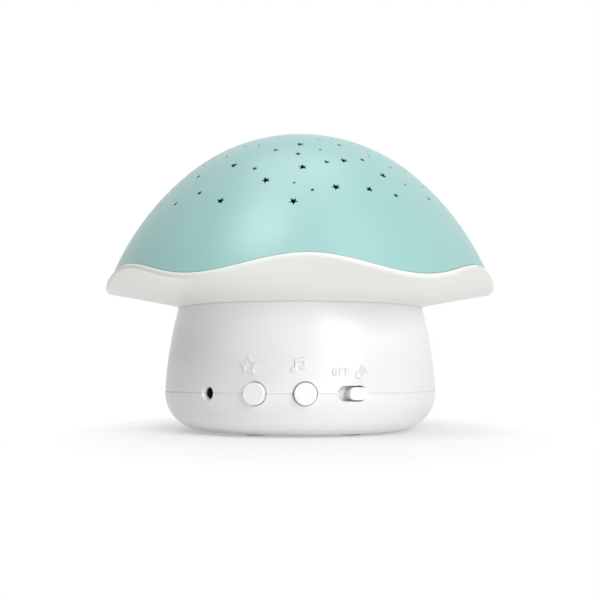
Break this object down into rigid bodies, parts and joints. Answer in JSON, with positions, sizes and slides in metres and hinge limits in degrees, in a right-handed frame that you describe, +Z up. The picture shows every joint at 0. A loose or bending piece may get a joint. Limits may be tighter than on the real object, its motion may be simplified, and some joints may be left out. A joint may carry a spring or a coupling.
{
  "type": "musical night light",
  "caption": "Mushroom-shaped musical night light: a star-pierced dome on a wavy brim and a stem with push buttons, a slide switch and a power inlet.",
  "frame": {"origin": "centre of the bounding box on the surface that the feet stand on", "axes": "+Z up along the light's axis, the controls face -Y, +X to the right of someone facing them"},
  "size_m": [0.1616, 0.1566, 0.1228],
  "materials": {
    "teal_plastic": "satin moulded plastic",
    "white_plastic": "satin moulded plastic",
    "black_plastic": "matte",
    "grey_rubber": "matte",
    "black_foam": "matte",
    "steel": "zinc plated",
    "plated_brass": "nickel plated",
    "white_board": "solder mask",
    "green_board": "solder mask",
    "clear_lens": "clear",
    "capacitor_sleeve": "sleeved",
    "cell_jacket": "printed sleeve",
    "cone_paper": "paper",
    "magnet": "plated",
    "wire_jacket": "insulation"
  },
  "bodies": {
    "housing": {"dome_shade": "teal_plastic", "brim_collar": "white_plastic", "upper_housing": "white_plastic", "base_housing": "white_plastic", "lamp_deck": "black_plastic", "light_switch": "black_plastic", "music_switch": "black_plastic", "dc_jack": "black_plastic", "sound_chip": "black_plastic", "rubber_feet": "grey_rubber", "speaker_gasket": "black_foam", "housing_screws": "steel", "deck_screws": "steel", "led_board_screws": "steel", "board_screws": "steel", "speaker_screws": "steel", "battery_springs": "steel", "battery_contacts": "steel", "slide_switch": "steel", "speaker_frame": "steel", "dc_jack_pin": "plated_brass", "led_board": "white_board", "main_board": "green_board", "projector_led": "clear_lens", "capacitors": "capacitor_sleeve", "battery_cells": "cell_jacket", "speaker_cone": "cone_paper", "speaker_magnet": "magnet", "led_leads": "wire_jacket", "speaker_leads": "wire_jacket", "battery_leads": "wire_jacket"},
    "light_button": {"light_button": "white_plastic", "light_switch_plunger": "black_plastic"},
    "music_button": {"music_button": "white_plastic", "music_switch_plunger": "black_plastic"},
    "mode_slider": {"mode_slider": "white_plastic", "slide_switch_lever": "black_plastic"},
    "battery_door": {"battery_door": "white_plastic"},
    "door_screw_left": {"door_screw_left": "steel"},
    "door_screw_right": {"door_screw_right": "steel"}
  },
  "joints": [
    {"name": "light_button_press", "type": "slide", "parent": "housing", "child": "light_button", "axis": [0.3256, 0.9455, 0], "range_m": [0, 0.0008], "stiffness_N_per_m": 1000, "springref_m": -0.001},
    {"name": "music_button_press", "type": "slide", "parent": "housing", "child": "music_button", "axis": [0, 1, 0], "range_m": [0, 0.0008], "stiffness_N_per_m": 1000, "springref_m": -0.001},
    {"name": "mode_slider_slide", "type": "slide", "parent": "housing", "child": "mode_slider", "axis": [0.9511, 0.309, 0], "range_m": [-0.0037, 0]},
    {"name": "battery_door_lift", "type": "slide", "parent": "housing", "child": "battery_door", "axis": [0, 0, -1], "range_m": [0, 0.03]},
    {"name": "door_screw_left_turn", "type": "hinge", "parent": "battery_door", "child": "door_screw_left", "pos_m": [-0.03225, 0, 0.002], "axis": [0, 0, 1], "continuous": true},
    {"name": "door_screw_right_turn", "type": "hinge", "parent": "battery_door", "child": "door_screw_right", "pos_m": [0.03225, 0, 0.002], "axis": [0, 0, 1], "continuous": true}
  ]
}
